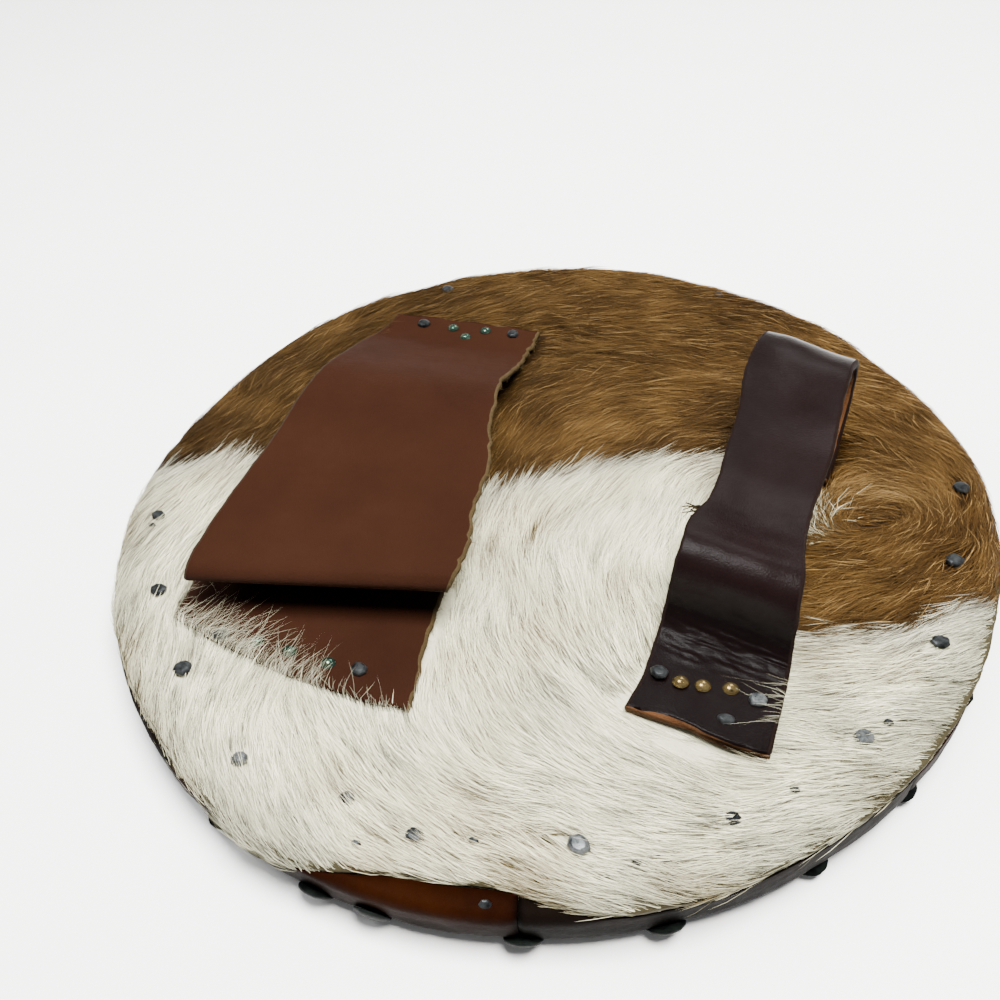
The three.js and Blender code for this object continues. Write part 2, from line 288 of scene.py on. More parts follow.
def brass(name, bright, dull, patina, cover):
    """cover is the noise level under which the patina shows."""
    n = Nodes(name, Metallic=0.95)
    spots = n.noise(260.0, 4.0, 0.55)
    metal = n.ramp(n.noise(300.0, 3.0), (0.35, dull), (0.65, bright))
    covered = n.ramp(spots, (cover - 0.06, (1.0, 1.0, 1.0)), (cover + 0.06, (0.0, 0.0, 0.0)))
    colour = n.mix(covered, metal, patina)
    return n.finished(colour, (spots, 0.12, 0.2), rough=n.to_range(spots, 0.34, 0.12))


def hair_material():
    n = Nodes("hair", Roughness=0.6, Specular_IOR_Level=0.12)
    streaks = n.to_range(n.noise(260.0, 4.0, 0.6), 0.0, 0.22)
    return n.finished(n.mix(streaks, n.tint(), (0.5, 0.42, 0.32), "MULTIPLY"))


def skin_material():
    n = Nodes("hide_skin", Roughness=0.85, Specular_IOR_Level=0.2)
    fibres = n.noise(700.0, 5.0, 0.7)
    colour = n.mix(n.to_range(fibres, 0.0, 0.5), n.tint(), (0.2, 0.15, 0.1), "MULTIPLY")
    return n.finished(colour, (fibres, 0.7, 0.6))


def wood_material():
    n = Nodes("board_wood", Roughness=0.85, Specular_IOR_Level=0.2)
    grain = n.noise(30.0, 6.0, 0.6, (1.0, 14.0, 6.0))
    # Near black: the wood's dark stain, darkened further as painted shade under the hide's edge.
    colour = n.ramp(grain, (0.3, (0.008, 0.0055, 0.0035)), (0.7, (0.02, 0.013, 0.008)))
    return n.finished(colour, (grain, 0.5, 0.6))


def floor_material():
    n = Nodes("floor", Roughness=0.9, Specular_IOR_Level=0.1)
    return n.finished(n.ramp(n.noise(6.0), (0.3, (0.86, 0.86, 0.86)), (0.7, (0.9, 0.9, 0.9))))


# Leather: base, dark and light colours, range of roughness, shine.
ARM_LEATHER = leather(
    "arm_leather", (0.0145, 0.0054, 0.0029), (0.0118, 0.0043, 0.0024), (0.0178, 0.0067, 0.0037),
    (0.62, 0.76), 0.035,
)  # fmt: skip
HAND_LEATHER = leather(
    "hand_leather", (0.0036, 0.0015, 0.0015), (0.0025, 0.001, 0.001), (0.0048, 0.002, 0.002),
    (0.3, 0.44), 0.14, 1100.0, 0.2,
)  # fmt: skip
TAN_LEATHER = leather(
    "tan_leather", (0.0052, 0.00115, 0.0003), (0.0018, 0.0005, 0.00025), (0.0115, 0.0028, 0.0005),
    (0.55, 0.75), 0.03,
)  # fmt: skip
DARK_LEATHER = leather(
    "dark_leather", (0.0024, 0.0014, 0.001), (0.0011, 0.0007, 0.0005), (0.005, 0.003, 0.0022),
    (0.55, 0.75), 0.03,
)  # fmt: skip
TAN_EDGE = raw_leather("tan_edge", (0.008, 0.0055, 0.0025), (0.075, 0.05, 0.022))
HAND_EDGE = raw_leather("hand_edge", (0.02, 0.0085, 0.0035), (0.105, 0.046, 0.019))
HAND_SIDE = raw_leather("hand_side", (0.0028, 0.0016, 0.0014), (0.01, 0.0048, 0.0034))
ARM_SIDE = raw_leather("arm_side", (0.009, 0.005, 0.0025), (0.03, 0.0165, 0.0085))
THREAD = raw_leather("thread", (0.008, 0.006, 0.003), (0.03, 0.022, 0.01))
DARK_IRON = iron("dark_iron", (0.008, 0.0088, 0.0092), (0.05, 0.054, 0.056), (0.22, 0.42))
WORN_IRON = iron("worn_iron", (0.03, 0.034, 0.036), (0.2, 0.212, 0.215), (0.2, 0.4))
STUD_IRON = iron("stud_iron", (0.0015, 0.0018, 0.0017), (0.006, 0.008, 0.007), (0.45, 0.65), 0.0, 0.05)
BRASS = brass("brass", (0.4, 0.29, 0.12), (0.26, 0.185, 0.07), (0.05, 0.042, 0.018), 0.3)
GREEN_BRASS = brass("green_brass", (0.3, 0.36, 0.24), (0.1, 0.14, 0.09), (0.07, 0.15, 0.11), 0.55)
HAIR = hair_material()
SKIN = skin_material()

# --- the coat: where it is brown, and which way it lies ---

# The brown patch lies beyond this line: (x, y) in millimetres about the hub.
COAT_LINE = np.array(
    [(-240, -38), (-213, -24), (-179, -21), (-130, -20), (-80, -22), (-31, -19), (-12, -2),
     (8, 12), (28, 25), (55, 38), (82, 46), (104, 30), (122, -30), (150, -63), (171, -55),
     (193, -46), (216, -32), (240, -16)],
    float,
)  # fmt: skip

# Which way the hair lies: (x, y, degrees from +X), a slow swirl with a whorl of its own at right.
LAY = np.array(
    [(-60, 220, 10), (20, 215, -8), (90, 190, -20), (-130, 180, 32), (0, 150, -12), (60, 140, -6),
     (140, 165, -28), (-200, 120, 58), (-110, 110, 25), (-20, 100, 22), (50, 90, 4),
     (130, 120, -12), (190, 110, -40), (-215, 40, 70), (-120, 30, 60), (-30, 45, 62),
     (30, 55, 38), (80, 70, 20), (225, 40, -90), (-200, -20, 62), (-40, -10, 90), (20, 0, 64),
     (70, 0, 84), (150, 70, 5), (180, 62, -35), (205, 10, -120), (185, -5, -132),
     (160, -12, -150), (180, -50, -153), (215, -50, -142), (-200, -80, 84), (-100, -70, 75),
     (-30, -80, 98), (30, -70, 116), (75, -80, 112), (-180, -130, 106), (-110, -150, 84),
     (-40, -140, 118), (10, -130, 134), (60, -140, 160), (110, -130, 176), (160, -110, 200),
     (190, -100, 202), (-130, -190, 116), (-60, -195, 132), (0, -195, 166), (50, -190, 184),
     (100, -185, 192), (150, -170, 206), (20, -225, 180), (-90, -215, 134), (150, 25, 100),
     (165, 35, 40)],
    float,
)  # fmt: skip


def lay_angle(x, y):
    """The direction of the hair, in radians, blended between the places above."""
    east, north = np.zeros_like(x), np.zeros_like(x)
    for px, py, degrees in LAY:
        weight = 1.0 / ((x - px) ** 2 + (y - py) ** 2 + 60.0) ** 1.6
        east += weight * math.cos(math.radians(degrees))
        north += weight * math.sin(math.radians(degrees))
    return np.arctan2(north, east)


def brownness(x, y):
    """0 on the white coat and 1 on the brown, how near their border is, and the pale streak."""
    line = np.interp(x, COAT_LINE[:, 0], COAT_LINE[:, 1])
    ragged = 9.0 * waver(x, y, 9.0, 11) + 10.0 * waver(x, y, 26.0, 12)
    brown = smooth_step(-4.0, 4.0, y - line + ragged)
    tuft = np.exp(-(((x - 149.0) / 8.0) ** 2) - ((y - 10.0) / 9.0) ** 2)
    streak = np.exp(-(((x - 168.0) / 20.0) ** 2) - ((y - 38.0 - 0.5 * (x - 168.0)) / 5.0) ** 2)
    return np.clip(brown - 0.85 * tuft, 0.0, 1.0), hump(y, line, 13.0), streak


WHITE = np.array([0.97, 0.95, 0.7])
CREAM = np.array([0.68, 0.61, 0.4])
GREY = np.array([0.28, 0.275, 0.272])
FOX = np.array([0.021, 0.0098, 0.0028])
GOLD = np.array([0.125, 0.069, 0.021])
STRAW = np.array([0.3, 0.19, 0.075])
UMBER = np.array([0.01, 0.005, 0.002])
# Painted shade deep in the coat: each strand darkens from its tip towards its root.
ROOT_SHADE_OF_WHITE = np.array([0.35, 0.335, 0.285])  # of the tip's colour
ROOT_SHADE_OF_BROWN = 0.35
LOCK_SIZE = 3.2  # of a lock that has one tone
STREAK_LENGTH, STREAK_WIDTH = 14.0, 1.05  # of a line of hair that has one tone
LOCK_SEED, STREAK_SEED = 23, 25


def uneven_cells(x, y, size, strength, wave, seeds):
    """Column and row of x, y in a grid with wavering lines."""
    return [
        np.floor(at / size + strength * lattice_noise(x, y, wave, seed)) for at, seed in zip((x, y), seeds)
    ]


def lock_cells(x, y, size):
    return uneven_cells(x, y, size, 1.7, 7.0, (33, 34))


def lock_tone(x, y):
    """A random value shared by the strands of one lock."""
    column, row = (cells.astype(int) % 128 for cells in lock_cells(x, y, LOCK_SIZE))
    return np.random.default_rng(LOCK_SEED).random((128, 128))[row, column]


def streak_tone(x, y):
    """A random value shared by the strands rooted along one narrow line of the lay."""
    cells = uneven_cells(x, y, STREAK_LENGTH, 1.5, 11.0, (36, 39))
    column, row = (numbers.astype(int) for numbers in cells)
    middle_x, middle_y = (column + 0.5) * STREAK_LENGTH, (row + 0.5) * STREAK_LENGTH
    angle = lay_angle(middle_x, middle_y)
    aside = -(x - middle_x) * np.sin(angle) + (y - middle_y) * np.cos(angle)
    line = np.floor(aside / STREAK_WIDTH).astype(int)
    return np.random.default_rng(STREAK_SEED).random((64, 64, 64))[row % 64, column % 64, line % 64]


def near_nail(x, y, reach):
    """1 at a clenched nail, falling to 0 away from it."""
    each = [np.exp(-((x - at[0]) ** 2 + (y - at[1]) ** 2) / reach**2) for at, _ in NAIL_SPOTS]
    return np.max(each, axis=0)


def coat_colour(x, y, rng):
    """Root and tip colours of strands rooted at x, y."""
    brown, border, pale = brownness(x, y)
    is_brown = (rng.random(len(x)) < brown)[:, None]
    own = rng.random(len(x))
    lock, line = lock_tone(x, y), streak_tone(x, y)
    tone = (0.28 * own + 0.12 * lock + 0.6 * line)[:, None]
    broad = lattice_noise(x, y, 34.0, 21)[:, None]
    patch = lattice_noise(x, y, 13.0, 22)

    shade = 1.0 - 0.16 * smooth_step(0.5, 0.75, lattice_noise(x, y, 21.0, 24))
    shade = shade * (1.0 - 0.5 * smooth_step(RADIUS - 26, RADIUS + 6, np.hypot(x, y)))
    dim = smooth_step(0.42, 0.26, 0.35 * own + 0.65 * line) * (0.55 + 0.45 * patch)
    shade = (shade * (1.0 - 0.8 * dim))[:, None]
    creamy = (CREAM - WHITE) * np.clip(1.6 * broad - 0.6, 0, 1) * 0.55
    white = WHITE * (0.3 + 0.84 * tone) * shade + creamy
    fawn = (smooth_step(0.86, 0.97, 0.6 * lock + 0.4 * own) * smooth_step(0.45, 0.7, patch))[:, None]
    white = white + (CREAM * 0.8 - white) * 0.6 * fawn
    greyed = (border * own)[:, None] * 0.75
    white = white * (1 - greyed) + GREY * greyed
    # Painted shade in the dip of the hair round each clenched nail.
    nail_shade = 0.9 * near_nail(x, y, 3.8)[:, None] * (0.3 + 0.7 * own[:, None])
    white = white * (1 - nail_shade) + 0.22 * GREY * nail_shade

    mixed = np.clip(-0.02 + 1.15 * tone + 0.6 * (broad - 0.5), 0, 1)
    tawny = FOX * (1 - mixed) + GOLD * mixed
    streak = smooth_step(0.5, 0.68, (0.35 * patch + 0.45 * line + 0.2 * own)[:, None])
    tawny = tawny + (UMBER - tawny) * 0.72 * streak
    straw = np.maximum(smooth_step(0.91, 0.97, own), pale * (rng.random(len(x)) < 0.6))[:, None]
    tawny = tawny + (STRAW - tawny) * 0.8 * straw
    darkened = border[:, None] * 0.5
    tawny = tawny * (1 - darkened) + UMBER * 1.3 * darkened
    tawny = tawny * (0.88 + 0.22 * np.clip(x / 150.0, -1, 1))[:, None]

    root = np.where(is_brown, tawny * ROOT_SHADE_OF_BROWN, white * ROOT_SHADE_OF_WHITE)
    return root, np.where(is_brown, tawny, white)


# Where the cut edge of the hide wavers: (degrees about the hub, millimetres outward, reach in degrees).
HIDE_WAVES = (
    (15, 2.5, 14), (42, -3, 8), (70, -3, 12), (90, 2, 9), (119, 2.2, 4), (127, -1.6, 3), (140, 2.5, 14),
    (170, -4, 12), (235, -3.5, 16), (271, -11.5, 8), (282, -11.5, 7), (313, -1, 10),
)  # fmt: skip


def hide_radius(angle):
    """The distance of the hide's cut edge from the hub, at an angle in radians."""
    degrees = np.degrees(angle)
    return RADIUS + sum(by * hump((degrees - at + 180) % 360, 180, over) for at, by, over in HIDE_WAVES)


# --- strands ---


def ribbon_mesh(paths, width, tilt, root, tip):
    """Narrow strands along paths (strand, point, xyz): strips that end in a point, leaning by tilt."""
    count, rings = paths.shape[0], paths.shape[1] - 1
    ahead = np.diff(paths, axis=1)
    side = np.stack([-ahead[..., 1], ahead[..., 0], np.zeros(ahead.shape[:2])], axis=-1)
    side /= np.maximum(np.linalg.norm(side, axis=-1, keepdims=True), 1e-6)
    over = np.cross(ahead, side)
    over /= np.maximum(np.linalg.norm(over, axis=-1, keepdims=True), 1e-6)
    side = side * np.cos(tilt)[:, None, None] + over * np.sin(tilt)[:, None, None]
    taper = 1.0 - 0.5 * np.linspace(0, 1, rings + 1)[:rings] ** 2
    half = (width[:, None] * taper[None, :] / 2)[..., None]
    ring = np.stack([paths[:, :rings] - side * half, paths[:, :rings] + side * half], axis=2)
    vertices = np.concatenate([ring.reshape(count, rings * 2, 3), paths[:, -1:, :]], axis=1)
    share = np.concatenate([np.repeat(np.arange(rings) / rings, 2), [1.0]])[None, :, None]
    tint = root[:, None, :] * (1 - share) ** 1.5 + tip[:, None, :] * (1 - (1 - share) ** 1.5)
    last = 2 * (rings - 1)
    corners = []
    for low in range(0, last, 2):
        corners += [(low, low + 2, low + 3), (low, low + 3, low + 1)]
    corners.append((last, last + 2, last + 1))
    faces = np.array(corners)[None, :, :] + (np.arange(count) * (rings * 2 + 1))[:, None, None]
    return vertices.reshape(-1, 3), faces.reshape(-1, 3), tint.reshape(-1, 3)


def add_strands(name, paths, width, root, tip, rng):
    vertices, faces, tint = ribbon_mesh(paths, width, rng.normal(0.0, 0.55, len(paths)), root, tip)
    add_piece(name, vertices, faces, [HAIR], tint=tint)


CLUMP = 4.0  # size of a lock whose tips are drawn together
GATHER = 0.3  # how far they are
SPREAD = 0.11  # of single hairs off the lay, in radians


def grow(x, y, z, length, lift, points, rng):
    """Paths of strands that follow the lay of the coat from their roots, drawn together in locks."""
    steps = points - 1
    wander = 0.3 * waver(x, y, 6.0, 31) + 0.45 * waver(x, y, 17.0, 32)
    loose = 1.0 + 3.0 * np.exp(-(((x - 156) / 14.0) ** 2) - ((y - 18) / 14.0) ** 2)
    tousled = 1.0 + 0.7 * brownness(x, y)[0]
    angle_off = rng.normal(0.0, SPREAD, len(x)) * loose * tousled + wander * tousled
    angle_off += 0.35 * waver(x, y, 46.0, 35)
    centres = [(cells + 0.5) * CLUMP for cells in lock_cells(x, y, CLUMP)]
    pull_x, pull_y = (np.clip(to - at, -CLUMP, CLUMP) for to, at in zip(centres, (x, y)))
    px, py = x.copy(), y.copy()
    paths = np.empty((len(x), points, 3))
    for step in range(points):
        share = step / steps
        rise = 1.0 - (1.0 - share) ** 1.8
        paths[:, step, 0] = px + GATHER * share**1.5 * pull_x
        paths[:, step, 1] = py + GATHER * share**1.5 * pull_y
        paths[:, step, 2] = z + lift * rise + heaped(px, py) * min(1.0, 1.6 * share)
        if step < steps:
            angle = lay_angle(px, py) + angle_off
            px = px + np.cos(angle) * length / steps
            py = py + np.sin(angle) * length / steps
    return paths


ARM_LEFT, ARM_RIGHT = -163, -22  # X of the sides of the arm strap's near end


def arm_bow(x):
    """How far the near end of the arm strap bows out beyond a straight cut, in millimetres."""
    return 6.5 * np.sin(np.pi * np.clip((x - ARM_LEFT) / (ARM_RIGHT - ARM_LEFT), 0, 1)) ** 0.8


def arm_end_line(x):
    """Y of the near end of the arm strap."""
    return -144 - 0.17 * (x + 90) - arm_bow(x)


def heaped(x, y):
    """How far the coat is heaped up against the near end of the arm strap, in millimetres."""
    bottom = arm_end_line(x) - y
    left = ARM_LEFT - x
    corner = np.where((bottom < 0) & (left > 0), left, np.hypot(left, bottom))
    away = np.where((x > ARM_LEFT) & (bottom > 0), bottom, corner)
    away = np.where((x > ARM_RIGHT + 4) | (y > -84), 30.0, np.maximum(away, 0.0))
    return 5.2 * (1.0 - smooth_step(0.0, 15.0, away))


# How far down over the side the coat grows: (degrees about the hub, millimetres).
OVERHANG = np.array(
    [(0, 3.6), (150, 4), (185, 8), (208, 10), (222, 11), (232, 20), (252, 20), (260, 9), (267, 3.0),
     (284, 2.6), (296, 3.0), (360, 3.6)], float,
)  # fmt: skip


def overhang(angle):
    """The same at any angle in radians, a little uneven."""
    degrees = np.degrees(angle) % 360
    full = np.interp(degrees, OVERHANG[:, 0], OVERHANG[:, 1])
    return full + (0.7 + 0.12 * full) * lattice_noise(degrees, 0, 9.0, 38)


def wrap(paths):
    """Bends flat-grown strands down over the rounded edge of the hide."""
    edge = hide_radius(np.arctan2(paths[..., 1], paths[..., 0]))
    distance = np.hypot(paths[..., 0], paths[..., 1])
    inside = edge - distance
    blend = 2.2
    kept = blend * np.logaddexp(0.0, inside / blend)
    fallen = blend * np.logaddexp(0.0, -inside / blend)
    above = paths[..., 2] - SKIN_TOP
    share = smooth_step(0.0, 5.0, fallen)
    scale = (edge + 0.6 * smooth_step(3.0, 0.0, inside) - kept + above * share * 0.8) / distance
    paths[..., 2] = SKIN_TOP - fallen + above * (1 - share)
    paths[..., :2] *= scale[..., None]
    return paths


# --- straps ---

# Sections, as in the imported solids: (Y, rise of the middle, left X, right X, skew). The skew is along
# Y, per millimetre across.
ARM_SECTIONS = (
    (-144, 0, -161, -20, -0.17), (-124, 0, -163, -24, -0.13), (-104, 0, -165, -27, -0.06),
    (-92, 0.8, -164, -28, 0), (-82.5, 6, -163, -28, 0.04), (-80, 12, -161, -27, 0.08),
    (-87, 17.4, -158, -25, 0.12), (-96, 19, -155, -23, 0.15), (-105, 19.8, -153, -21, 0.17),
    (-108.5, 23.4, -152, -18, 0.18), (-104.5, 27.4, -152, -16, 0.17), (-86, 28.8, -153.5, -16, 0.12),
    (-55, 29.2, -154, -20, 0.06), (-15, 29.4, -152, -24, 0.02), (25, 28.8, -153, -34, 0),
    (56, 25.2, -154, -41, -0.01), (84, 15.8, -153.5, -42.5, -0.02), (106, 7.6, -153, -42, -0.02),
    (122, 2, -151, -43.5, -0.02), (136, 0, -148, -43, -0.02), (150, 0, -146, -44, -0.02),
)  # fmt: skip
HAND_SECTIONS = (
    (-133, 0, 77, 142, -0.14), (-112, 0, 81, 143.5, -0.14), (-95, 0, 83, 145, -0.15),
    (-84, 1.8, 84, 146, -0.17), (-76, 9, 84.5, 146, -0.19), (-71, 19, 85, 146, -0.2),
    (-65, 28.5, 86, 145, -0.2), (-55, 33, 88, 145, -0.2), (-42, 32, 89, 144, -0.21),
    (-22, 29, 95, 144.5, -0.22), (5, 28.5, 98, 147, -0.24), (40, 31.5, 100, 151.5, -0.27),
    (76, 37, 100, 154, -0.3), (102, 39, 103, 156, -0.31), (116, 34.5, 107, 159, -0.31),
    (120, 25, 108, 160, -0.31), (115, 15, 107, 160, -0.31), (104, 6, 106, 159, -0.31),
    (91, 1.2, 104, 157, -0.31), (76, 0, 102, 155, -0.31), (50, 0, 100, 152, -0.31),
)  # fmt: skip
ARM_THICKNESS, HAND_THICKNESS = 3.8, 5.0
EDGE_DRAWN_IN = 0.85  # how far the flat sides stop short of a cut edge, which is rounded
RUFFLED_ROWS = 8  # rows over which an uneven cut end fades into the strap


def strap_line(sections, thickness, steps):
    """The middle line of a strap, its tangents, its edges and skew, and the length along it."""
    sections = np.array(sections, float)
    lying = HIDE_TOP + GAP + thickness / 2
    middles, ahead = catmull_rom(np.column_stack([sections[:, 0], sections[:, 1] + lying]), steps)
    edges, _ = catmull_rom(sections[:, 2:], steps)
    along = np.concatenate([[0], np.cumsum(np.linalg.norm(np.diff(middles, axis=0), axis=1))])
    return middles, ahead, edges, along


def add_strap(name, sections, thickness, steps, across, shapes, materials, left_only):
    """A bent strap.

    shapes are functions for its edges, its relief, its cut ends and its painted shade, which darkens its
    flap and fold. materials are for its grain side, its flesh side and cut edges, and its plain edges:
    both, or with left_only the left one.
    """
    waves, relief, end_relief, painted_shade = shapes
    middles, ahead, edges, along = strap_line(sections, thickness, steps)
    rows, share, half = len(middles), np.linspace(0.0, 1.0, across), thickness / 2
    # one ring: grain side left to right, round the right edge, flesh side back, round the left edge
    bulge = [(0.5, half - 0.35), (0.85, 0.3), (0.7, -0.6), (0.3, 0.4 - half)]
    ring = [(s, 0.0, half) for s in share] + [(1.0, shift, out) for shift, out in bulge]
    ring += [(s, 0.0, -half) for s in share[::-1]] + [(0.0, -shift, out) for shift, out in bulge[::-1]]
    place, shift, out = np.array(ring).T
    columns, flat = len(ring), np.abs(out) > half - 0.5
    left_x, right_x = edges[:, 0] + waves(along, 0), edges[:, 1] + waves(along, 1)
    x = left_x[:, None] + place * (right_x - left_x)[:, None] + shift
    x = x + EDGE_DRAWN_IN * (shift == 0) * ((place == 0) * 1.0 - (place == 1))
    out = out + relief(along[:, None], x) * flat
    skew = edges[:, 2][:, None] * (x - (left_x + right_x)[:, None] / 2)
    y = middles[:, 0][:, None] + skew - ahead[:, 1][:, None] * out
    z = middles[:, 1][:, None] + ahead[:, 0][:, None] * out
    vertices = np.stack([x, y, z], axis=-1).reshape(-1, 3)

    column = np.tile(np.arange(columns), rows - 1)
    kind = np.where(column < across - 1, 0, 1)
    plain = column >= columns - 5
    if not left_only:
        plain |= (column >= across - 1) & (column < across + 4)
    kind[plain] = 2

    start, end = np.arange(columns), (rows - 1) * columns + np.arange(columns)
    nxt = (start + 1) % columns
    first = len(vertices)
    caps = np.vstack([
        np.column_stack([start, start[nxt], np.full(columns, first)]),
        np.column_stack([end[nxt], end, np.full(columns, first + 1)]),
    ])  # fmt: skip
    vertices = np.vstack([vertices, vertices[start].mean(axis=0), vertices[end].mean(axis=0)])
    for back in range(RUFFLED_ROWS):
        fade = (1 - back / RUFFLED_ROWS) ** 1.2
        for rim, which in ((start + back * columns, 0), (end - back * columns, 1)):
            vertices[rim, 1] += fade * end_relief(vertices[rim, 0], which)
    faces = np.vstack([*halves(tube_faces(rows, columns)[:, ::-1]), caps])
    kinds = np.concatenate([kind, kind, np.ones(len(caps), int)])
    tint = np.repeat(np.append(np.repeat(painted_shade(along), columns), [0.0, 0.0])[:, None], 3, axis=1)
    return add_piece(name, vertices, faces, materials, kinds, tint=tint)


def arm_waves(along, edge):
    """How far an edge wavers to the right. The right edge is raggedly cut."""
    if edge == 0:
        return 0.7 * np.sin(along / 21.0) + 0.5 * waver(along, 0, 5.0, 41)
    ragged = 1.6 * waver(along, 0, 4.0, 42) + 0.8 * waver(along, 0, 1.6, 43)
    return 0.45 * np.sin(along / 9.5) + 1.2 * waver(along, 0, 14.0, 45) + ragged


def hand_waves(along, edge):
    return 0.5 * np.sin(along / (9.7 + 3 * edge)) + 0.5 * waver(along, 0, 4.0, 44 + edge)


def arm_relief(along, x):
    slack = 0.9 * waver(x, along, 45.0, 46) + 0.25 * waver(x, along, 9.0, 47)
    return slack * smooth_step(60, 120, along) * smooth_step(400, 340, along)


def hand_relief(along, x):
    """Slack in the leather, and creases where it bends up near its nails."""
    slack = 3.0 * waver(x, along, 30.0, 48) + 0.3 * waver(x, along, 8.0, 57)
    wander = along + 0.12 * x + 5.0 * lattice_noise(x, along, 24.0, 49)
    small = np.abs(waver(wander * 3.0, x * 0.9, 6.0, 55))
    creases = np.abs(waver(wander * 3.0, x * 0.5, 10.0, 50)) + 0.6 * small
    return slack + 1.7 * hump(along, 44.0, 17.0) * creases * smooth_step(78, 100, x)


def arm_end(x, end):
    cut = (1.3 if end else 1.0) * waver(x, 0, 9.0, 51 + end) * 2
    return cut if end else cut - arm_bow(x)


def hand_end(x, end):
    if end:
        return 0.8 * waver(x, 0, 8.0, 53)
    return 2.2 * np.sin((x - 77) / 11.0) + 1.2 * waver(x, 0, 6.0, 54)


def arm_painted_shade(along):
    """Painted shade on the arm strap: the flap at its near end, and most of all in the fold."""
    return 0.1 * smooth_step(64, 50, along) + 0.6 * hump(along, 66, 9.0)


def hand_painted_shade(along):
    # Painted shade on the hand strap: its flap at the near end, and most of all where it bends up.
    return 0.55 * smooth_step(62, 44, along) + 0.7 * hump(along, 62, 9.0)


def add_straps():
    arm = add_strap(
        "arm_strap_leather", ARM_SECTIONS, ARM_THICKNESS, 9, 46,
        (arm_waves, arm_relief, arm_end, arm_painted_shade),
        [ARM_LEATHER, TAN_EDGE, ARM_SIDE], True,
    )  # fmt: skip
    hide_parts("arm_strap")
    hand = add_strap(
        "hand_strap_leather", HAND_SECTIONS, HAND_THICKNESS, 11, 44,
        (hand_waves, hand_relief, hand_end, hand_painted_shade),
        [HAND_LEATHER, HAND_EDGE, HAND_SIDE], False,
    )  # fmt: skip
    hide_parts("hand_strap")


def add_edge_fuzz():
    """Short fibres along the raw right edge of the arm strap."""
    rng, count = np.random.default_rng(SEED + 60), 900
    middles, ahead, edges, along = strap_line(ARM_SECTIONS, ARM_THICKNESS, 12)
    right_x = edges[:, 1] + arm_waves(along, 1)
    row = rng.integers(6, len(middles) - 2, count)
    out = (rng.random(count) - 0.5) * ARM_THICKNESS * 0.9
    x = right_x[row] - 0.6
    y = middles[row, 0] + edges[row, 2] * (x - ((edges[:, 0] + right_x) / 2)[row]) - ahead[row, 1] * out
    base = np.column_stack([x, y, middles[row, 1] + ahead[row, 0] * out])
    size = (0.9 + 1.6 * rng.random(count) ** 2)[:, None, None]
    aside, lean = rng.normal(0, 0.7, count), rng.normal(-0.1, 0.6, count)
    aim = np.column_stack([np.full(count, 1.0), aside, lean])
    curl = rng.normal(0, 0.5, (count, 3))
    share = np.linspace(0, 1, 4)[None, :, None]
    paths = base[:, None, :] + size * (aim[:, None, :] * share + curl[:, None, :] * share**2)
    tip = np.array([0.06, 0.043, 0.02]) * (0.5 + rng.random((count, 1)))
    # The roots are darker: painted shade at the strap's edge.
    add_strands("arm_edge_fuzz", paths, np.full(count, 0.22), tip * 0.5, tip, rng)


# --- the hide ---


def add_hide_skin():
    """The skin under the hair, with its thin raw cut edge."""
    rings = [(0.0, SKIN_TOP), *((share, SKIN_TOP) for share in np.linspace(0.04, 0.96, 24))]
    rings += [(0.985, SKIN_TOP - 0.2), (1.0, SKIN_TOP - 1.0)]
    rings += [(1.0, HIDE_LOW[2] + 0.9), *((share, HIDE_LOW[2]) for share in (0.99, 0.5, 0.0))]
    around = 240
    angle = np.linspace(0, 2 * np.pi, around, endpoint=False)
    edge = hide_radius(angle) + 1.2 * waver(angle * 230, 0, 7.0, 61)
    vertices, tints = [], []
    for share, z in rings:
        x, y = edge * share * np.cos(angle), edge * share * np.sin(angle)
        haired = z > SKIN_TOP - 0.1
        lump = 0.8 * waver(x, y, 9.0, 62) if haired else 0.0
        vertices.append(np.column_stack([x, y, np.full(around, z) + lump]))
        brown = brownness(x, y)[0][:, None]
        # Painted shade: the skin under the hair is much darker than the hair's own colour.
        coat = WHITE * 0.5 * (1 - brown) + FOX * 0.4 * brown
        # The cut edge and underside: the raw skin's own olive colour, darkened further as painted shade.
        tints.append(coat if haired else np.tile([0.04, 0.034, 0.018], (around, 1)))
    quads = tube_faces(len(rings), around)
    skin = add_piece("hide_skin", np.vstack(vertices), quads, [SKIN], tint=np.vstack(tints))
    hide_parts("back_hide")


def over_flat_leather(x, y):
    """The strap end on the hide at x, y: 0 none, 1 and 2 the arm strap's, 3 and 4 the hand strap's."""
    found = np.zeros(np.shape(x), int)
    found[(y > arm_end_line(x)) & (y < -82) & (x > ARM_LEFT) & (x < ARM_RIGHT)] = 1
    found[(y > 112) & (y < 150) & (x > -148) & (x < -43)] = 2
    found[(y > -133 - 0.14 * (x - 110)) & (y < -80) & (x > 78 + (y + 133) * 0.12) & (x < 143)] = 3
    far_line = -0.31 * (x - 126)
    found[(y > 48 + far_line) & (y < 100 + far_line) & (x > 100) & (x < 154)] = 4
    return found


# The share of the hair that climbs over each strap end, how far it goes, and the leather's thickness.
CLIMB = {
    1: (0.2, 2.5, ARM_THICKNESS), 2: (0.1, 3.0, ARM_THICKNESS),
    3: (0.0, 5.0, HAND_THICKNESS), 4: (0.1, 3.0, HAND_THICKNESS),
}  # fmt: skip


def between(path, at):
    """Points of paths (..., point, xyz) at broken point numbers."""
    low = np.minimum(at.astype(int), path.shape[-2] - 2)
    part = (at - low)[:, None]
    return path[..., low, :] * (1 - part) + path[..., low + 1, :] * part


